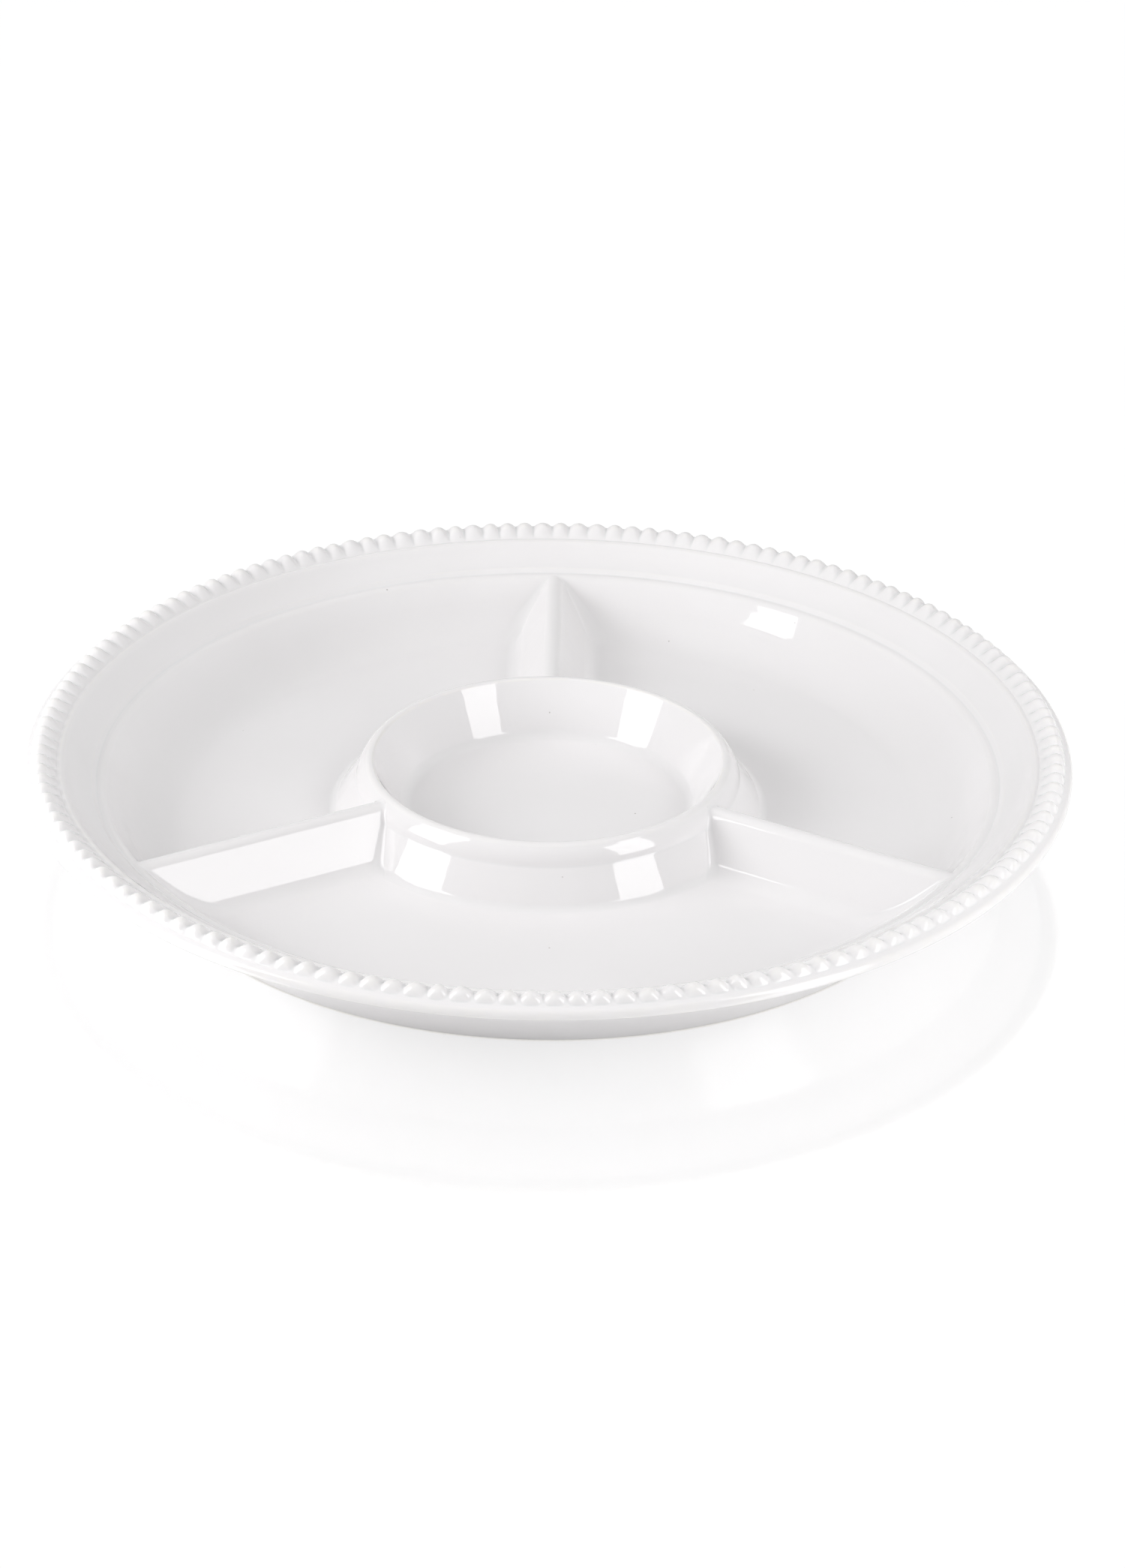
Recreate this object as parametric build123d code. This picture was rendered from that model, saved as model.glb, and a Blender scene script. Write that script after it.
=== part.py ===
"""A round glazed ceramic serving dish: three chip wells around a dip bowl, inside a beaded rim.

Millimetres, +Z up. The origin is the middle of the dish on the surface that it stands on, and the
front of the dish, the middle of its front well, is towards -Y. The dish is one fired piece. It is
divided here into its formed sections, which meet face to face.
"""

import os
from math import atan2, cos, degrees, pi, radians, sin, tan

from build123d import *

# Foot and floor
foot_height = 1.8
foot_width = 9.0
floor_thickness = 5.7

# Chip wells, from their flat floor up a cove and a sloping wall to the shoulder
shoulder_radius = 153.5
well_depth = 17.0
well_wall_angle = 50.0
well_cove_radius = 25.0
wall_thickness = 5.5

# Rim: a hollow flange, a narrow crowned strip, then the rolled edge
flange_width = 14.0
flange_rise = 9.0
flange_thickness = 5.5
flange_hollow = 0.8
strip_width = 4.0
strip_rise = 0.6
strip_crown = 0.25
edge_width = 10.5
edge_step = 2.5
edge_thickness = 6.2
edge_top_round = 1.8
edge_bottom_round = 3.0

# Beads moulded on top of the edge
bead_count = 156
bead_height = 2.4
bead_gap = 0.25
bead_margin = 0.15

# Dip bowl in the middle
bowl_radius = 62.3
bowl_depth = 18.4
bowl_lip_width = 4.6
bowl_lip_round = 3.0
bowl_inner_draft = 29.0
bowl_outer_draft = 33.0
bowl_inner_cove = 5.0
bowl_outer_cove = 5.0

# Dividers between the wells, named in turn from the one that runs to the rear
divider_places = ("rear", "left", "right")
divider_height = 16.8
divider_top_width = 5.0
divider_top_round = 3.4
divider_draft = 40.0
divider_cove = 6.0

# Wells, each named by where it lies, in turn after the divider of the same number
well_places = ("left", "front", "right")

# Flat floor left beside each cove, where one section ends and the next begins
seam_land = 1.0

# Heights above the table
floor_z = foot_height + floor_thickness
shoulder_z = floor_z + well_depth
flange_top_z = shoulder_z + flange_rise
seat_z = flange_top_z + edge_step
edge_bottom_z = seat_z - edge_thickness
bowl_crest_z = floor_z + bowl_depth
divider_top_z = floor_z + divider_height
clear_z = max(seat_z, bowl_crest_z, divider_top_z) + bead_height

# Angles about the middle: the dividers are evenly spaced, and each well is halfway between two
rear_angle = 90.0
divider_turn = 360.0 / len(divider_places)
divider_angles = [rear_angle + i * divider_turn for i in range(len(divider_places))]
well_angles = [angle + divider_turn / 2 for angle in divider_angles]

# Radii of the rim
edge_radius = shoulder_radius + flange_width
rim_radius = edge_radius + edge_width


def cove_reach(radius, lean):
    """How far a cove reaches from its corner, along the floor and up a wall that leans off upright."""
    return radius * tan(radians(90.0 - lean) / 2)


def along(start, angle, to_height):
    """The point at a height on a sloping line, given by one of its points and its angle."""
    return (start[0] + (to_height - start[1]) / tan(radians(angle)), to_height)


def crossing(first, first_angle, second, second_angle):
    """The point where two sloping lines meet, each given by a point and an angle."""
    a = tan(radians(first_angle))
    b = tan(radians(second_angle))
    x = (second[1] - first[1] + a * first[0] - b * second[0]) / (a - b)
    return (x, first[1] + a * (x - first[0]))


def outline(*corners):
    """A closed face from corners (x, y) or (x, y, rounding)."""
    points = [corner[:2] for corner in corners]
    rounding = [corner[2] if len(corner) > 2 else 0 for corner in corners]
    return make_face(FilletPolyline(*points, radius=rounding, close=True))


def turned(section):
    """A section drawn as (radius, height), turned about the upright middle axis of the dish."""
    return revolve(Plane.XZ * section, Axis.Z)


# The well wall's corners: where it meets the floor, the shoulder, and the outside of the dish
shoulder = (shoulder_radius, shoulder_z)
wall_corner = along(shoulder, well_wall_angle, floor_z)
wall_seam = wall_corner[0] - cove_reach(well_cove_radius, 90.0 - well_wall_angle) - seam_land
outside = (
    shoulder_radius + wall_thickness * sin(radians(well_wall_angle)),
    shoulder_z - wall_thickness * cos(radians(well_wall_angle)),
)

# The underside of the flange, and where it meets the outside of the well wall
flange_angle = degrees(atan2(flange_rise, flange_width))
under_flange = (
    shoulder_radius + flange_thickness * sin(radians(flange_angle)),
    shoulder_z - flange_thickness * cos(radians(flange_angle)),
)
under_shoulder = crossing(outside, well_wall_angle, under_flange, flange_angle)
under_edge = (edge_radius, under_flange[1] + (edge_radius - under_flange[0]) * tan(radians(flange_angle)))

# The dip bowl's wall: where its two faces meet its lip and the floor
lip_inside = (bowl_radius - bowl_lip_width / 2, bowl_crest_z)
lip_outside = (bowl_radius + bowl_lip_width / 2, bowl_crest_z)
bowl_inner_corner = along(lip_inside, 90.0 - bowl_inner_draft, floor_z)
bowl_outer_corner = along(lip_outside, 90.0 + bowl_outer_draft, floor_z)
bowl_inner_seam = bowl_inner_corner[0] - cove_reach(bowl_inner_cove, bowl_inner_draft) - seam_land
bowl_outer_seam = bowl_outer_corner[0] + cove_reach(bowl_outer_cove, bowl_outer_draft) + seam_land

# The divider's half widths: at its top, at its foot, and out to the end of its cove
divider_half_top = divider_top_width / 2
divider_half_foot = divider_half_top + divider_height * tan(radians(divider_draft))
divider_seam = divider_half_foot + cove_reach(divider_cove, divider_draft) + seam_land


def foot_ring():
    """The bare ring that the dish stands on, sloping outside in line with the well wall."""
    foot = along(outside, well_wall_angle, 0)
    foot_top = along(outside, well_wall_angle, foot_height)
    inner_radius = foot[0] - foot_width
    return turned(outline((inner_radius, 0), foot, foot_top, (inner_radius, foot_height)))


def dip_bowl_floor():
    """The round flat floor of the dip bowl."""
    return Pos(0, 0, foot_height) * extrude(Circle(bowl_inner_seam), floor_thickness)


def dip_bowl_wall():
    """The upright wall of the dip bowl, with its rounded lip and a cove on each side."""
    return turned(
        outline(
            (bowl_inner_seam, foot_height),
            (bowl_outer_seam, foot_height),
            (bowl_outer_seam, floor_z),
            (*bowl_outer_corner, bowl_outer_cove),
            (*lip_outside, bowl_lip_round),
            (*lip_inside, bowl_lip_round),
            (*bowl_inner_corner, bowl_inner_cove),
            (bowl_inner_seam, floor_z),
        )
    )


def floor_ring():
    """The flat floor between the dip bowl and the well walls, before the dividers part it."""
    return turned(
        outline(
            (bowl_outer_seam, foot_height),
            (wall_seam, foot_height),
            (wall_seam, floor_z),
            (bowl_outer_seam, floor_z),
        )
    )


def wall_ring():
    """The coved wall around the wells, from the floor to the shoulder, before the dividers part it."""
    return turned(
        outline(
            (wall_seam, foot_height),
            along(outside, well_wall_angle, foot_height),
            under_shoulder,
            shoulder,
            (*wall_corner, well_cove_radius),
            (wall_seam, floor_z),
        )
    )


def divider_space():
    """The space that a divider may fill: from the dip bowl's outside to the well wall's inside."""
    return turned(
        outline(
            (bowl_outer_seam, foot_height),
            (wall_seam, foot_height),
            (wall_seam, floor_z),
            (*wall_corner, well_cove_radius),
            shoulder,
            (shoulder_radius, clear_z),
            (bowl_radius, clear_z),
            (bowl_radius, bowl_crest_z),
            (*lip_outside, bowl_lip_round),
            (*bowl_outer_corner, bowl_outer_cove),
            (bowl_outer_seam, floor_z),
        )
    )


def divider_strip(angle):
    """The strip of the dish that a divider and its coves take up, out from the middle at an angle."""
    strip = Box(rim_radius, 2 * divider_seam, clear_z, align=(Align.MIN, Align.CENTER, Align.MIN))
    return Rot(0, 0, angle) * strip


def divider():
    """A divider along +X: a bar with sloping sides and coves, and the well wall that it runs into."""
    bar_section = outline(
        (-divider_seam, foot_height),
        (divider_seam, foot_height),
        (divider_seam, floor_z),
        (divider_half_foot, floor_z, divider_cove),
        (divider_half_top, divider_top_z, divider_top_round),
        (-divider_half_top, divider_top_z, divider_top_round),
        (-divider_half_foot, floor_z, divider_cove),
        (-divider_seam, floor_z),
    )
    bar = extrude(Plane.YZ * bar_section, rim_radius)
    return (bar & divider_space()) + (wall_ring() & divider_strip(0))


def between_dividers(ring):
    """The part of a ring that lies in the well whose middle is along +X."""
    parted = ring
    for i in range(len(divider_places)):
        parted = parted - divider_strip((i + 0.5) * divider_turn)
    return parted.solids().sort_by(Axis.X)[-1]


def rim_flange():
    """The hollow flange that slopes up from the shoulder, with a narrow crowned strip outside it."""
    strip_start = (edge_radius - strip_width, flange_top_z - strip_rise)
    strip_end = (edge_radius, flange_top_z)
    section = make_face(
        [
            SagittaArc(shoulder, strip_start, -flange_hollow),
            SagittaArc(strip_start, strip_end, strip_crown),
            Line(strip_end, under_edge),
            Line(under_edge, under_shoulder),
            Line(under_shoulder, shoulder),
        ]
    )
    return turned(section)


def rim_edge():
    """The thick rolled edge, with a flat seat on top for the beads."""
    return turned(
        outline(
            under_edge,
            along(under_edge, flange_angle, edge_bottom_z),
            (rim_radius, edge_bottom_z, edge_bottom_round),
            (rim_radius, seat_z, edge_top_round),
            (edge_radius, seat_z),
        )
    )


def bead_border():
    """A row of beads on the seat: each is the top of a spindle that lies along a radius."""
    seat_width = edge_width - edge_top_round
    half_length = seat_width / 2 - bead_margin
    middle_radius = edge_radius + seat_width / 2
    half_width = (2 * pi * middle_radius / bead_count - bead_gap) / 2
    thickness_radius = (half_width**2 / bead_height + bead_height) / 2
    arc_radius = (half_length**2 / bead_height + bead_height) / 2
    axis_z = seat_z + bead_height - thickness_radius
    axis_half = (arc_radius**2 - (arc_radius - thickness_radius) ** 2) ** 0.5
    tip_in = (middle_radius - axis_half, axis_z)
    tip_out = (middle_radius + axis_half, axis_z)
    crown = (middle_radius, seat_z + bead_height)
    half_spindle = make_face([ThreePointArc(tip_in, crown, tip_out), Line(tip_out, tip_in)])
    spindle = revolve(Plane.XZ * half_spindle, Axis((0, 0, axis_z), (1, 0, 0)))
    bead = split(spindle, Plane.XY.offset(seat_z), keep=Keep.TOP)
    pitch = 360.0 / bead_count
    return Compound(children=[Rot(0, 0, i * pitch) * bead for i in range(bead_count)])


sections = {
    "foot_ring": foot_ring(),
    "dip_bowl_floor": dip_bowl_floor(),
    "dip_bowl_wall": dip_bowl_wall(),
    "rim_flange": rim_flange(),
    "rim_edge": rim_edge(),
    "bead_border": bead_border(),
}
well_floor = between_dividers(floor_ring())
well_wall = between_dividers(wall_ring())
for place, angle in zip(well_places, well_angles):
    sections["chip_well_floor_" + place] = Rot(0, 0, angle) * well_floor
    sections["chip_well_wall_" + place] = Rot(0, 0, angle) * well_wall
one_divider = divider()
for place, angle in zip(divider_places, divider_angles):
    sections["divider_" + place] = Rot(0, 0, angle) * one_divider

os.makedirs("parts", exist_ok=True)
for name, section in sections.items():
    export_step(section, "parts/" + name + ".step")
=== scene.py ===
"""A round white glazed ceramic chip and dip server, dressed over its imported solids.

Lengths are millimetres until a mesh, lamp or camera is made from them, and angles are degrees.
"""

import math

import bpy
import numpy as np
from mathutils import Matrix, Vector


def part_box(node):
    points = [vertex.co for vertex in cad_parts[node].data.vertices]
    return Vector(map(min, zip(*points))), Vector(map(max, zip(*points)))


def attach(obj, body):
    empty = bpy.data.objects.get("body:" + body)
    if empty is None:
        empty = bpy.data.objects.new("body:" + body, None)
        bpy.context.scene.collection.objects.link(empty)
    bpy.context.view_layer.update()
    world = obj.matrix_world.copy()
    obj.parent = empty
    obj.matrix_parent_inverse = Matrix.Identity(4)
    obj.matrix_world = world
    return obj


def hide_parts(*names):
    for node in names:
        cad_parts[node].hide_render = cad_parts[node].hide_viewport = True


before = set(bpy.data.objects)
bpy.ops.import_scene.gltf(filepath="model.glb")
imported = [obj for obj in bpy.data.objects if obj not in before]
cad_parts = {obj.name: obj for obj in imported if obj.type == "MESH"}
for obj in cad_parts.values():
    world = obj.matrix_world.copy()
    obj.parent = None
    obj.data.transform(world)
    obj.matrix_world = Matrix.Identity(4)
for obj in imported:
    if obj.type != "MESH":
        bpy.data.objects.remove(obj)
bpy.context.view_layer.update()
bpy.context.scene.view_settings.view_transform = "Standard"


# Foot ring: the low ring of clay under the well walls that the dish stands on. It is thrown in one with
# the dish. Its outside is glazed in line with the wall, and its underside is wiped and ground bare.

MM = 0.001


def span(node):
    """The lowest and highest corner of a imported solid."""
    low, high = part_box(node)
    return np.array(low) / MM, np.array(high) / MM


def left_of(way):
    """The direction to the left of a way along a section, which is the outside of the clay."""
    return np.array([-way[1], way[0]])


def run(*corners, turn_step=4.0):
    """A smooth stretch of a section: rows of radius, height and outward normal, from rounded corners."""
    points = [np.array(corner[:2], float) for corner in corners]
    rounding = [corner[2] if len(corner) > 2 else 0.0 for corner in corners]
    ways = [(b - a) / np.linalg.norm(b - a) for a, b in zip(points, points[1:])]
    rows = [[*points[0], *left_of(ways[0])]]
    for corner, radius, before, after in zip(points[1:-1], rounding[1:-1], ways, ways[1:]):
        turn = math.atan2(before[0] * after[1] - before[1] * after[0], before @ after)
        bend = math.copysign(radius, turn)
        start = corner - before * radius * math.tan(abs(turn) / 2)
        middle = start + left_of(before) * bend
        for part in np.linspace(0, turn, 2 + int(abs(math.degrees(turn)) / turn_step)):
            way = before * math.cos(part) + left_of(before) * math.sin(part)
            rows.append([*(middle - left_of(way) * bend), *left_of(way)])
    rows.append([*points[-1], *left_of(ways[-1])])
    return np.array(rows)


def whole_turn(stops):
    """Evenly spaced angles once round the dish, the same at every radius."""
    angles = np.linspace(0, 2 * math.pi, stops + 1)
    angles[-1] = 0.0
    return lambda radius: angles


def carried(runs, angles):
    """Runs of a section carried round the dish, as grids of places and normals."""
    grids = []
    for rows in runs:
        stops = np.stack([angles(radius) for radius in rows[:, 0]], axis=1)
        across, along = np.cos(stops), np.sin(stops)
        flat = np.ones_like(stops)
        places = np.stack([rows[:, 0] * across, rows[:, 0] * along, rows[:, 1] * flat], axis=-1)
        normals = np.stack([rows[:, 2] * across, rows[:, 2] * along, rows[:, 3] * flat], axis=-1)
        grids.append((places, normals))
    return grids


def bend_of(places, normals):
    """How sharply a grid bulges, per millimetre: above nought on an edge, below it in a corner."""
    bend = np.zeros(places.shape[:2])
    for axis in (0, 1):
        step = np.gradient(places, axis=axis)
        lean = np.gradient(normals, axis=axis)
        bend += (step * lean).sum(-1) / np.maximum((step * step).sum(-1), 1e-9)
    return bend


def fired(name, grids, finish):
    """A closed piece from grids that meet along their rims, with flat ends unless they close a ring."""
    places = np.concatenate([grid.reshape(-1, 3) for grid, _ in grids])
    normals = np.concatenate([facing.reshape(-1, 3) for _, facing in grids])
    bends = np.concatenate([bend_of(*grid).ravel() for grid in grids])
    _, first, kept = np.unique(np.round(places, 4), axis=0, return_index=True, return_inverse=True)
    kept = kept.ravel()
    quads, ends = [], ([], [])
    count = 0
    for grid, _ in grids:
        spots = count + np.arange(grid.shape[0] * grid.shape[1]).reshape(grid.shape[:2])
        count += spots.size
        quads.append(np.stack([spots[:-1, :-1], spots[:-1, 1:], spots[1:, 1:], spots[1:, :-1]], -1))
        ends[0].extend(spots[0, :-1])
        ends[1].extend(spots[-1, :-1])
    quads = np.concatenate([quad.reshape(-1, 4) for quad in quads])
    shut = kept[quads] == kept[np.roll(quads, -1, axis=1)]
    faces = quads[~shut.any(axis=1)].tolist()
    for quad, gone in zip(quads[shut.any(axis=1)], shut[shut.any(axis=1)]):
        if gone.sum() == 1:
            faces.append(quad[~gone].tolist())
    facings = [normals[spot] for face in faces for spot in face]
    if kept[ends[0]].tolist() != kept[ends[1]].tolist():
        for end in (np.array(ends[0][::-1]), np.array(ends[1])):
            loop = end[kept[end] != kept[np.roll(end, -1)]]
            ring = places[loop] - places[loop].mean(axis=0)
            facing = np.cross(ring, np.roll(ring, -1, axis=0)).sum(axis=0)
            faces.append(loop.tolist())
            facings.extend([facing / np.linalg.norm(facing)] * len(loop))
    mesh = bpy.data.meshes.new(name)
    mesh.from_pydata((places[first] * MM).tolist(), [], [kept[face].tolist() for face in faces])
    mesh.shade_smooth()
    mesh.normals_split_custom_set(np.array(facings).tolist())
    mesh.attributes.new("bend", "FLOAT", "POINT").data.foreach_set("value", bends[first])
    mesh.materials.append(finish)
    piece = bpy.data.objects.new(name, mesh)
    bpy.context.scene.collection.objects.link(piece)
    return piece


class Wire:
    """A socket of a material's nodes. Arithmetic on it adds Math nodes."""

    def __init__(self, tree, socket=None):
        self.tree = tree
        self.socket = socket

    def node(self, kind, settings=None, sockets=None, output=0):
        """One of the outputs of a new node of a kind, with its settings and its sockets filled."""
        made = self.tree.nodes.new("ShaderNode" + kind)
        for name, value in (settings or {}).items():
            setattr(made, name, value)
        for name, value in (sockets or {}).items():
            if isinstance(value, Wire):
                self.tree.links.new(value.socket, made.inputs[name])
            else:
                made.inputs[name].default_value = value
        return Wire(self.tree, made.outputs[output] if made.outputs else None)

    def math(self, operation, *values):
        return self.node("Math", {"operation": operation}, dict(enumerate(values)))

    def between(self, low, high):
        """Nought at the low value, one at the high one, and smooth between them."""
        limits = {"Value": self, "From Min": low, "From Max": high}
        return self.node("MapRange", {"interpolation_type": "SMOOTHSTEP"}, limits)

    def blend(self, below, above):
        """A colour that goes from one to another as this value goes from nought to one."""
        return self.node("Mix", {"data_type": "RGBA"}, {0: self, 6: below, 7: above}, output=2)

    def __add__(self, other):
        return self.math("ADD", self, other)

    def __sub__(self, other):
        return self.math("SUBTRACT", self, other)

    def __mul__(self, other):
        return self.math("MULTIPLY", self, other)

    def __rsub__(self, other):
        return self.math("SUBTRACT", other, self)

    __radd__ = __add__
    __rmul__ = __mul__


def glaze(name, bare_below=None):
    """Glossy white glaze: uneven by a hair, thin on edges, pooled with painted shade in corners, with
    specks and pinholes.

    Where bare_below is given, the clay below that height is wiped free of glaze."""
    finish = bpy.data.materials.new(name)
    finish.use_nodes = True
    finish.node_tree.nodes.clear()
    wires = Wire(finish.node_tree)
    place = wires.node("TexCoord", output="Object")

    def cloud(per_metre, detail=2.0):
        noise = {"Vector": place, "Scale": per_metre, "Detail": detail}
        return wires.node("TexNoise", sockets=noise)

    def spots(per_metre, radius):
        """Dots of a radius in millimetres, scattered through the clay."""
        cells = {"Vector": place, "Scale": per_metre, "Randomness": 1.0}
        far = wires.node("TexVoronoi", sockets=cells, output="Distance")
        return 1 - far.between(0.4 * radius * MM * per_metre, radius * MM * per_metre)

    # Colour: cool white with broad clouds, warmer where the glaze is thin, and greyer in corners where it
    # pools, with painted shade there too
    bend = wires.node("Attribute", {"attribute_name": "bend"}, output="Fac")
    white = cloud(14.0).between(0.35, 0.65).blend((0.850, 0.835, 0.840, 1), (0.866, 0.852, 0.858, 1))
    thin = bend.between(0.05, 0.9) * cloud(180.0).between(0.3, 0.6)
    # Painted shade: concave corners and creases are greyed, partly as pooled glaze and partly standing in
    # for the shade that falls there
    pooled_glaze_and_shade = (0 - bend).between(0.03, 0.6)
    colour = (0.6 * thin).blend(white, (0.88, 0.862, 0.835, 1))
    colour = (0.5 * pooled_glaze_and_shade).blend(colour, (0.80, 0.806, 0.81, 1))
    iron = spots(75.0, 0.42) * cloud(30.0).between(0.42, 0.6)
    colour = (0.75 * iron).blend(colour, (0.34, 0.31, 0.29, 1))
    roughness = 0.02 + 0.012 * cloud(22.0).between(0.3, 0.7) + 0.006 * cloud(240.0, 4.0)

    # Surface: slow waves where the glaze ran, a faint orange peel, and pinholes
    pinhole = spots(110.0, 0.3)
    height = 0.055 * cloud(38.0, 1.0) + 0.030 * cloud(150.0) + 0.0022 * cloud(420.0) - 0.03 * pinhole
    if bare_below is not None:
        level = wires.node("SeparateXYZ", sockets={"Vector": place}, output="Z")
        bare = 1 - (level + 0.0004 * cloud(150.0)).between(bare_below * MM, 1.3 * bare_below * MM)
        grain = cloud(900.0, 5.0)
        clay = grain.between(0.3, 0.7).blend((0.66, 0.62, 0.56, 1), (0.77, 0.73, 0.67, 1))
        colour = bare.blend(colour, clay)
        roughness = roughness + bare * 0.75
        height = height + bare * (0.12 * grain - 0.05)
    bump = {"Distance": MM, "Height": height}
    normal = wires.node("Bump", sockets=bump)
    shine = {"Base Color": colour, "Roughness": roughness, "IOR": 1.52, "Normal": normal}
    surface = wires.node("BsdfPrincipled", sockets=shine)
    wires.node("OutputMaterial", sockets={"Surface": surface})
    return finish


foot_high = span("foot_ring")[1]
foot_width = 9.0
foot_round = 0.7
foot_bare_height = 0.45
foot_stops = 480
outside_angle = 50.0
outside_slope = math.tan(math.radians(outside_angle))
floor_under = foot_high[2]
foot_top = foot_high[0]
foot_outer = foot_top - floor_under / outside_slope
foot_inner = foot_outer - foot_width
foot = fired(
    "foot",
    carried(
        [
            run((foot_inner, floor_under), (foot_top, floor_under)),
            run(
                (foot_top, floor_under),
                (foot_outer, 0, foot_round),
                (foot_inner, 0, foot_round),
                (foot_inner, floor_under),
            ),
        ],
        whole_turn(foot_stops),
    ),
    glaze("bare foot", bare_below=foot_bare_height),
)
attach(foot, "root")
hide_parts("foot_ring")


# Dip bowl: a round pan in the middle of the dish, pressed in one with it. A flat floor turns up through a
# cove into a sloping wall, which rolls over into a full round lip and flares out to the chip wells.

white_glaze = glaze("white glaze")
bowl_floor_top = span("dip_bowl_floor")[1]
bowl_top = span("dip_bowl_wall")[1]
floor_z = bowl_floor_top[2]
bowl_seam = bowl_floor_top[0]
well_seam = bowl_top[0]
lip_z = bowl_top[2]
bowl_stops = 540

bowl_floor = fired(
    "dip_bowl_floor_skin",
    carried(
        [
            run((0, floor_z), (bowl_seam, floor_z)),
            run((bowl_seam, floor_z), (bowl_seam, floor_under)),
            run((bowl_seam, floor_under), (0, floor_under)),
        ],
        whole_turn(bowl_stops),
    ),
    white_glaze,
)
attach(bowl_floor, "root")
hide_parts("dip_bowl_floor")

lip_inner = 60.0
lip_inner_round = 1.2
lip_outer = (62.2, lip_z, 2.5)
lip_side = (65.0, 22.8, 10.0)
bowl_inner_cove = 5.0
bowl_inner_draft = 29.0
bowl_inner_foot = lip_inner - (lip_z - floor_z) * math.tan(math.radians(bowl_inner_draft))
neck = (66.0, 19.3, 3.0)
bowl_outer_foot = (73.9, floor_z, 4.0)
bowl_face = run(
    (bowl_seam, floor_z),
    (bowl_inner_foot, floor_z, bowl_inner_cove),
    (lip_inner, lip_z, lip_inner_round),
    lip_outer,
    lip_side,
    neck,
    bowl_outer_foot,
    (well_seam, floor_z),
    turn_step=2.5,
)
bowl_wall = fired(
    "dip_bowl_wall_skin",
    carried(
        [
            bowl_face,
            run((well_seam, floor_z), (well_seam, floor_under)),
            run((well_seam, floor_under), (bowl_seam, floor_under)),
            run((bowl_seam, floor_under), (bowl_seam, floor_z)),
        ],
        whole_turn(bowl_stops),
    ),
    white_glaze,
)
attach(bowl_wall, "root")
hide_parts("dip_bowl_wall")


# Chip wells: three shallow trays round the dip bowl, pressed in one with it. Each has a flat floor, and a
# wide cove up to a sloping wall that rolls over at the shoulder, under the rim.

wall_seam = -span("chip_well_floor_front")[0][1]
divider_seam = span("divider_rear")[1][0]
shoulder = (153.5, 24.5)
under_shoulder_z = span("rim_flange")[0][2]
under_shoulder = (foot_top + (under_shoulder_z - floor_under) / outside_slope, under_shoulder_z)
wall_foot = 138.47
wall_cove = 24.0
wall_angle = 52.0
wall_slope = math.tan(math.radians(wall_angle))
roll_angle = 4.0
roll_slope = math.tan(math.radians(roll_angle))
roll_round = 3.2
roll_corner = (shoulder[1] - floor_z - roll_slope * shoulder[0] + wall_slope * wall_foot) / (
    wall_slope - roll_slope
)
wall_face = run(
    (wall_seam, floor_z),
    (wall_foot, floor_z, wall_cove),
    (roll_corner, floor_z + wall_slope * (roll_corner - wall_foot), roll_round),
    shoulder,
    turn_step=2.5,
)
well_middles = {"front": 270.0, "left": 150.0, "right": 30.0}
well_half = 60.0
well_floor_stops = 120
well_wall_stops = 320


def one_well(middle, stops):
    """Angles across a well at a radius, between the straight edges of the dividers beside it."""
    shares = np.linspace(-1, 1, stops + 1)

    def angles(radius):
        half = math.radians(well_half) - math.asin(divider_seam / radius)
        return math.radians(middle) + shares * half

    return angles


for place, middle in well_middles.items():
    well_floor = fired(
        "chip_well_floor_" + place + "_skin",
        carried(
            [
                run((well_seam, floor_z), (wall_seam, floor_z)),
                run((wall_seam, floor_z), (wall_seam, floor_under)),
                run((wall_seam, floor_under), (well_seam, floor_under)),
                run((well_seam, floor_under), (well_seam, floor_z)),
            ],
            one_well(middle, well_floor_stops),
        ),
        white_glaze,
    )
    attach(well_floor, "root")
    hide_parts("chip_well_floor_" + place)
    well_wall = fired(
        "chip_well_wall_" + place + "_skin",
        carried(
            [
                wall_face,
                run(shoulder, under_shoulder),
                run(under_shoulder, (foot_top, floor_under)),
                run((foot_top, floor_under), (wall_seam, floor_under)),
                run((wall_seam, floor_under), (wall_seam, floor_z)),
            ],
            one_well(middle, well_wall_stops),
        ),
        white_glaze,
    )
    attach(well_wall, "root")
    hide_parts("chip_well_wall_" + place)


# Dividers: three straight low walls from the dip bowl to the shoulder, pressed in one with the floor. The
# sides slope and run into the floor, bowl and well wall in soft corners that the glaze fills.

divider_angles = {"rear": 90.0, "left": 210.0, "right": 330.0}
divider_rise = 16.8
divider_draft = 35.0
ridge_z = floor_z + divider_rise
ridge_half = 2.2
ridge_round = 4.0
flank_cove = 8.0
flank_foot = ridge_half + (ridge_z - floor_z) * math.tan(math.radians(divider_draft))
bowl_fillet = (1.2, 3.0)
wall_fillet = (1.0, 6.5)
lip_ramp = 0.9
lip_ramp_round = 1.5
far_off = 1000.0
flank = run(
    (divider_seam, floor_z),
    (flank_foot, floor_z, flank_cove),
    (ridge_half, ridge_z, ridge_round),
    (0, ridge_z),
    turn_step=2.5,
)
bowl_outside = bowl_face[np.argmax(bowl_face[:, 1]):][::-1]
ridge_start = np.interp(ridge_z, bowl_outside[:, 1], bowl_outside[:, 0])


def half_width(height):
    """Half the divider's width at a height, and none above its ridge."""
    return np.where(height > ridge_z, -far_off, np.interp(height, flank[:, 1], flank[:, 0]))


def corner_round(height, sizes):
    """The radius of a glaze-filled corner at a height: it widens from the ridge down to the floor."""
    depth = np.clip((ridge_z - height) / (ridge_z - floor_z), 0, 1)
    room = np.clip(divider_seam - half_width(height), 0, None)
    return np.minimum(sizes[0] + (sizes[1] - sizes[0]) * depth, room)


def corner_fill(first, second, radius):
    """How far a point stands off two walls that meet in a rounded corner, from its distance to each."""
    near = np.hypot(np.maximum(radius - first, 0), np.maximum(radius - second, 0))
    return np.maximum(radius, np.minimum(first, second)) - near


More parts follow.
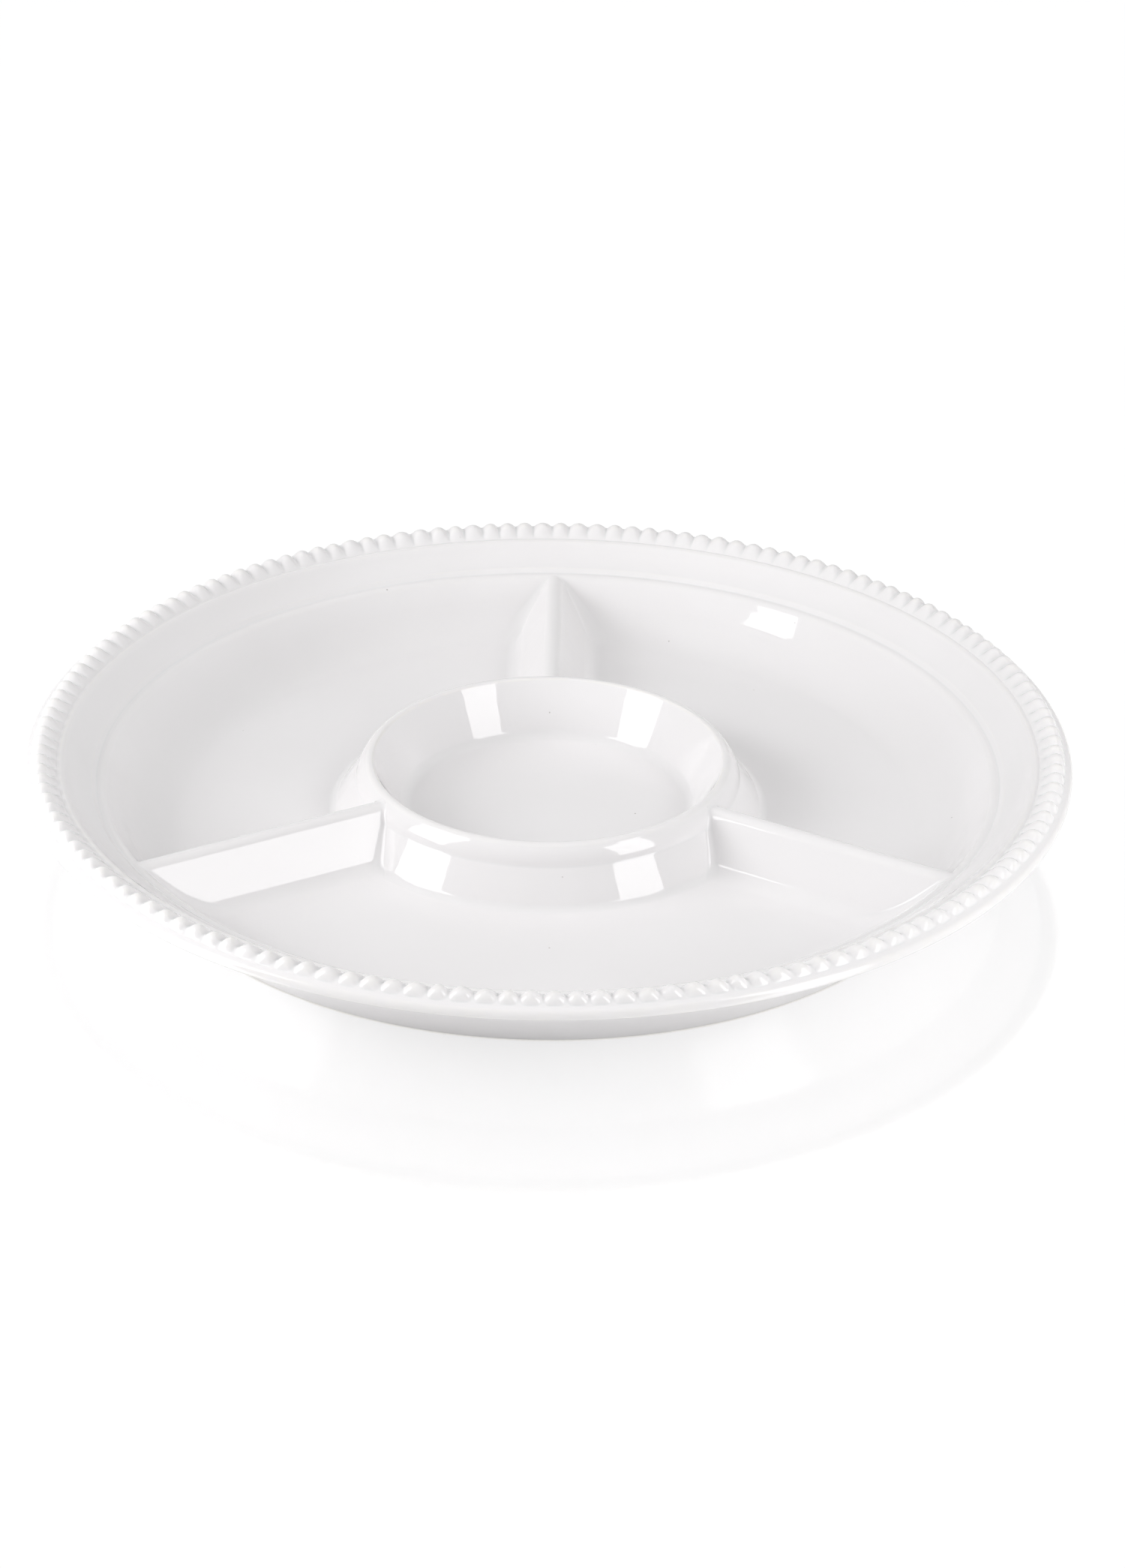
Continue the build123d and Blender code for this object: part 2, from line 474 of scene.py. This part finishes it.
def divider_height(radius, aside):
    """The height of the glaze at a radius and a distance aside from a divider's middle line."""
    low = np.full(radius.shape, floor_z)
    high = np.full(radius.shape, lip_z)
    lift = np.clip(ridge_start + lip_ramp - radius, 0, None) ** 2 / (2 * lip_ramp_round)
    halvings = 30
    for _ in range(halvings):
        height = (low + high) / 2
        off_flank = np.abs(aside) - half_width(height - lift)
        off_bowl = radius - np.interp(height, bowl_outside[:, 1], bowl_outside[:, 0])
        off_wall = np.interp(height, wall_face[:, 1], wall_face[:, 0], right=far_off) - radius
        by_bowl = corner_fill(off_bowl, off_flank, corner_round(height - lift, bowl_fillet))
        by_wall = corner_fill(off_wall, off_flank, corner_round(height - lift, wall_fillet))
        inside = np.minimum(by_bowl, by_wall) < 0
        low = np.where(inside, height, low)
        high = np.where(inside, high, height)
    return low


def filled(stops, step):
    """Sorted stops, with more put evenly between those that are further than a step apart."""
    stops = np.unique(np.round(stops, 6))
    gaps = [np.linspace(a, b, math.ceil((b - a) / step), endpoint=False) for a, b in zip(stops, stops[1:])]
    return np.concatenate([*gaps, stops[-1:]])


def strip(rows, asides):
    """A run of a section carried straight across a divider's strip."""
    aside = asides[:, None] * np.ones(len(rows))
    along = np.sqrt(rows[:, 0] ** 2 - aside**2)
    flat = np.ones_like(aside)
    places = np.stack([along, aside, rows[:, 1] * flat], axis=-1)
    out = rows[:, 2] / rows[:, 0]
    return places, np.stack([along * out, aside * out, rows[:, 3] * flat], axis=-1)


# Where the skin of the divider leaves the bowl, for each distance aside
across_step = 0.42
ridge_overlap = 0.3
asides = filled(np.concatenate([flank[:, 0], -flank[:, 0]]), across_step)
heights = np.linspace(ridge_z, floor_z, 400)
leaving = half_width(heights) + corner_round(heights, bowl_fillet)
leave_z = np.interp(np.abs(asides), leaving, heights)
leave_radius = np.interp(leave_z, bowl_outside[:, 1], bowl_outside[:, 0])
leave_radius = np.where(leave_z > ridge_z - 0.01, ridge_start - ridge_overlap, leave_radius)

# The skin: close rows by the bowl and by the well wall, and a start tucked just inside the bowl
tuck = 0.03
open_floor = 86.0
bowl_rows = 64
row_crowding = 1.8
outward_step = 0.36
before_wall = wall_seam - 3
near_bowl = np.concatenate([[-0.012, -0.001], np.linspace(0, 1, bowl_rows) ** row_crowding])
near_wall = filled([open_floor, before_wall, shoulder[0]], outward_step)[1:]
radii = np.concatenate(
    [
        leave_radius[:, None] + near_bowl * (open_floor - leave_radius)[:, None],
        near_wall * np.ones((len(asides), 1)),
    ],
    axis=1,
)
aside = asides[:, None] * np.ones(radii.shape[1])
along = np.sqrt(radii**2 - aside**2)
step = 0.04
skin_z = divider_height(radii, aside)
outward = (divider_height(radii + step, aside) - divider_height(radii - step, aside)) / (2 * step)
sideways = (divider_height(radii, aside + step) - divider_height(radii, aside - step)) / (2 * step)
sideways[[0, -1]] = 0.0
outward[:, -1] = roll_slope
skin_z[:, -1] = shoulder[1]
bowl_z = np.interp(radii, bowl_outside[::-1, 0], bowl_outside[::-1, 1], right=0.0)
skin_z -= tuck * np.clip(1 - (skin_z - bowl_z) / (2 * tuck), 0, 1)
skin = np.stack([along, aside, skin_z], axis=-1)
slope = np.stack([-outward * along / radii, -outward * aside / radii - sideways, np.ones_like(radii)], -1)
skin_normals = slope / np.linalg.norm(slope, axis=-1, keepdims=True)

# Hidden end inside the bowl's wall, then the closed section
tuck_z = floor_z - 0.4
hidden_drop = 0.3
hidden_depth = 0.5
hidden_rows = 12
hidden_share = np.linspace(0, 1, hidden_rows)
hidden_z = tuck_z + hidden_share * (skin_z[:, :1] - hidden_drop - tuck_z)
bowl_radius = np.interp(hidden_z, bowl_outside[:, 1], bowl_outside[:, 0], left=bowl_outside[1, 0])
hidden_radius = bowl_radius - hidden_depth
hidden_aside = asides[:, None] * np.ones(hidden_rows)
hidden = np.stack([np.sqrt(hidden_radius**2 - hidden_aside**2), hidden_aside, hidden_z], axis=-1)
well_end = strip(run((well_seam, floor_under), (well_seam, tuck_z)), asides)
hidden = np.concatenate([well_end[0][:, -1:], hidden, skin[:, :1]], axis=1)
divider_grids = [
    (skin, skin_normals),
    strip(run(shoulder, under_shoulder), asides),
    strip(run(under_shoulder, (foot_top, floor_under)), asides),
    strip(run((foot_top, floor_under), (well_seam, floor_under)), asides),
    well_end,
    (hidden, np.zeros_like(hidden) + (-1.0, 0.0, 0.0)),
]

for place, angle in divider_angles.items():
    turn = math.radians(angle)
    swing = np.array([[math.cos(turn), math.sin(turn), 0], [-math.sin(turn), math.cos(turn), 0], [0, 0, 1]])
    divider = fired(
        "divider_" + place + "_skin",
        [(places @ swing, normals @ swing) for places, normals in divider_grids],
        white_glaze,
    )
    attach(divider, "root")
    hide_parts("divider_" + place)


# Rim flange: the hollow rim that slopes up and out from the shoulder, pressed in one with the wells. A
# narrow crowned strip runs round its outside, below the beads.

edge_radius = 166.9
flange_top_z = 33.3
shoulder_corner = (154.1, 24.54, 0.9)
shoulder_step = (155.7, 26.0, 2.0)
hollow = (160.3, 28.3, 22.0)
strip_start = (164.7, 33.0, 2.4)
crown = (165.8, 33.42, 1.6)
flange_rise = 9.0
flange_width = 14.0
under_slope = flange_rise / flange_width
rim_stops = 1080
inner_line = (edge_radius, flange_top_z)
under_edge = (edge_radius, under_shoulder[1] + (edge_radius - under_shoulder[0]) * under_slope)
flange = fired(
    "rim_flange_skin",
    carried(
        [
            run(
                shoulder,
                shoulder_corner,
                shoulder_step,
                hollow,
                strip_start,
                crown,
                inner_line,
                turn_step=2.0,
            ),
            run(inner_line, under_edge),
            run(under_edge, under_shoulder),
            run(under_shoulder, shoulder),
        ],
        whole_turn(rim_stops),
    ),
    white_glaze,
)
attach(flange, "root")
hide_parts("rim_flange")


# Rim edge: the thick rolled band round the outside of the flange, pressed in one with it. Its outside is
# plain and rounded, and the beads melt into its top.

rim_radius = span("rim_edge")[1][0]
melt = (176.0, 34.13)
melt_corner_z = 33.2
melt_round = 2.0
edge_bottom_z = 30.1
edge_bottom_round = 1.7
edge_throat_round = 2.0
throat = (edge_radius + (edge_bottom_z - under_edge[1]) / under_slope, edge_bottom_z)
edge = fired(
    "rim_edge_skin",
    carried(
        [
            run(
                melt,
                (rim_radius, melt_corner_z, melt_round),
                (rim_radius, throat[1], edge_bottom_round),
                (*throat, edge_throat_round),
                under_edge,
            ),
            run(under_edge, inner_line),
            run(inner_line, melt),
        ],
        whole_turn(rim_stops),
    ),
    white_glaze,
)
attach(edge, "root")
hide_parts("rim_edge")


# Bead border: a row of short ridges across the top of the edge, moulded in one with it. Each rises in a
# long slope to a round crest and drops steeply to the edge outside. Hand finishing leaves them uneven.

bead_count = 156
stops_per_bead = 16
first_bead = -88.4
width_unevenness = 0.05
height_unevenness = 0.04
bead_crowding = (1.0, 1.12, 1.4)
glaze_softness = 0.22
bead_crest = (173.4, 39.6, 2.8)
bead_toe = (175.4, 34.4, 0.5)
notch_slope = (170.4, 34.75, 4.0)
notch_crest = (173.3, 35.9, 2.5)
chance = np.random.default_rng(156)

# Columns: where each bead begins, how far aside of its middle each column is, and how high the bead stands
pitch = 2 * math.pi / bead_count
unevenness = chance.normal(0, width_unevenness, bead_count)
notches = math.radians(first_bead) + (np.arange(bead_count) - 0.5 + unevenness) * pitch
widths = np.diff(np.append(notches, notches[0] + 2 * math.pi))
stands = 1 + chance.normal(0, height_unevenness, bead_count)
bead_share = np.arange(stops_per_bead) / stops_per_bead
angles = (notches[:, None] + widths[:, None] * bead_share).ravel()
lean = np.tile(2 * bead_share - 1, bead_count)
stand = np.repeat(stands, stops_per_bead)

# Rows: from the inner line up a long slope to the crest and steeply down to the melt line
slope_end = 172.0
slope_rows = np.linspace(edge_radius, slope_end, 14)
crest_rows = np.linspace(slope_end, melt[0], 27)
bead_radii = np.concatenate([slope_rows[:-1], crest_rows])
crest_line = run(inner_line, bead_crest, bead_toe, melt)
notch_line = run(inner_line, notch_slope, notch_crest, melt)
bead_top_z = np.interp(bead_radii, crest_line[:, 0], crest_line[:, 1])
notch_z = np.interp(bead_radii, notch_line[:, 0], notch_line[:, 1])
narrowing = np.interp(bead_radii, (edge_radius, bead_crest[0], bead_toe[0]), bead_crowding)
round_top = 1 - (lean[:, None] * narrowing) ** 2
round_top = (round_top + np.sqrt(round_top**2 + glaze_softness**2)) / 2
dome = stand[:, None] * (round_top - round_top.min()) / (round_top.max() - round_top.min())
top_z = notch_z + dome * (bead_top_z - notch_z)
top_x = np.cos(angles)[:, None] * bead_radii
top_y = np.sin(angles)[:, None] * bead_radii
top = np.stack([top_x, top_y, top_z], axis=-1)
around = np.roll(top, -1, axis=0) - np.roll(top, 1, axis=0)
facing = np.cross(np.gradient(top, axis=1), around)
facing /= np.linalg.norm(facing, axis=-1, keepdims=True)
top = np.concatenate([top, top[:1]])
facing = np.concatenate([facing, facing[:1]])
bead_angles = np.append(angles, angles[0])
beads = fired(
    "bead_border_skin",
    [(top, facing), *carried([run(melt, inner_line)], lambda radius: bead_angles)],
    white_glaze,
)
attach(beads, "root")
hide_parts("bead_border")


# Table: the plain white polished surface that the dish stands on, running back out of view. It keeps a
# faint shadow and mirror image of the dish and otherwise reads as white.

table_half = 4.0
table_mesh = bpy.data.meshes.new("table")
table_z = -0.02 * MM
corners = [(-1, -1), (1, -1), (1, 1), (-1, 1)]
table_mesh.from_pydata([(x * table_half, y * table_half, table_z) for x, y in corners], [], [(0, 1, 2, 3)])
table = bpy.data.objects.new("table", table_mesh)
bpy.context.scene.collection.objects.link(table)

paper = bpy.data.materials.new("white paper")
paper.use_nodes = True
paper.node_tree.nodes.clear()
wires = Wire(paper.node_tree)


def seen(wires, in_glaze=1.0):
    """One for rays from the camera, a share of it for what shows in the glaze, nought for light."""
    straight = wires.node("LightPath", output="Is Camera Ray")
    mirrored = wires.node("LightPath", output="Is Glossy Ray")
    return straight + in_glaze * mirrored


matt = wires.node("BsdfDiffuse", sockets={"Color": (0.88, 0.88, 0.88, 1)})
shaded = wires.node("BsdfDiffuse", sockets={"Color": (0.04, 0.04, 0.04, 1)})
sheen = wires.node("BsdfGlossy", sockets={"Color": (0.50, 0.50, 0.50, 1), "Roughness": 0.12})
glow = wires.node("Emission", sockets={"Color": (0.59, 0.59, 0.59, 1), "Strength": 1.0})
polished = wires.node("AddShader", sockets={0: shaded, 1: sheen})
shown = wires.node("AddShader", sockets={0: polished, 1: glow})
surface = wires.node("MixShader", sockets={0: seen(wires), 1: matt, 2: shown})
wires.node("OutputMaterial", sockets={"Surface": surface})
table_mesh.materials.append(paper)


# Lamps: two upright soft boxes at the sides, in front of the dish, with broad fill lamps whose shapes don't
# show in the glaze, and an even white surround.


def toward(azimuth, elevation):
    """The direction from the dish to something at an azimuth and elevation."""
    level = math.cos(math.radians(elevation))
    across = level * math.cos(math.radians(azimuth))
    back = level * math.sin(math.radians(azimuth))
    return Vector((across, back, math.sin(math.radians(elevation))))


def soft_box(name, azimuth, elevation, distance, width, height, brightness, mirrored=True):
    """A flat lamp that faces the dish, in metres; brightness is how bright it looks, where 1 is white."""
    lamp = bpy.data.lights.new(name, "AREA")
    lamp.shape = "RECTANGLE"
    lamp.size = width
    lamp.size_y = height
    lamp.energy = brightness * math.pi * width * height
    held = bpy.data.objects.new(name, lamp)
    way = toward(azimuth, elevation)
    held.location = way * distance
    held.rotation_euler = way.to_track_quat("Z", "Y").to_euler()
    held.visible_glossy = mirrored
    bpy.context.scene.collection.objects.link(held)


soft_box(
    "left soft box", azimuth=200.0, elevation=25.8, distance=0.85,
    width=0.37, height=0.715, brightness=4.5,
)
soft_box(
    "right soft box", azimuth=-38.5, elevation=25.0, distance=0.85,
    width=0.315, height=0.69, brightness=4.6,
)
soft_box(
    "left fill", azimuth=182.0, elevation=26.0, distance=2.2,
    width=1.0, height=0.7, brightness=6.0, mirrored=False,
)
soft_box(
    "right fill", azimuth=0.0, elevation=52.0, distance=2.2,
    width=1.2, height=1.2, brightness=1.8, mirrored=False,
)
soft_box(
    "back fill", azimuth=90.0, elevation=65.0, distance=2.2,
    width=1.2, height=1.2, brightness=1.9, mirrored=False,
)
soft_box(
    "front fill", azimuth=-84.0, elevation=4.0, distance=2.2,
    width=2.4, height=0.3, brightness=1.4, mirrored=False,
)

world = bpy.data.worlds.new("white surround")
bpy.context.scene.world = world
world.use_nodes = True
world.node_tree.nodes.clear()
wires = Wire(world.node_tree)
dim = wires.node("Background", sockets={"Color": (1, 1, 1, 1), "Strength": 0.20})
white = wires.node("Background", sockets={"Color": (1, 1, 1, 1), "Strength": 1.0})
surround = wires.node("MixShader", sockets={0: seen(wires, in_glaze=0.73), 1: dim, 2: white})
wires.node("OutputWorld", sockets={"Surface": surround})


# Camera: in front of the dish and above it, placed as in the photograph.

looks_at = Vector((0, 0, 34.5)) * MM
camera_distance = 1143.0
camera_azimuth = -89.23
camera_elevation = 27.27
camera_roll = 0.4
lens = bpy.data.cameras.new("camera")
lens.lens = 76.70
lens.sensor_width = 36.0
lens.shift_x = 0.0091
lens.shift_y = -0.0321
lens.clip_start = 0.01
camera = bpy.data.objects.new("camera", lens)
way = toward(camera_azimuth, camera_elevation)
camera.location = looks_at + way * camera_distance * MM
camera.rotation_euler = way.to_track_quat("Z", "Y").to_euler()
camera.rotation_euler.rotate_axis("Z", math.radians(camera_roll))
bpy.context.scene.collection.objects.link(camera)
bpy.context.scene.camera = camera
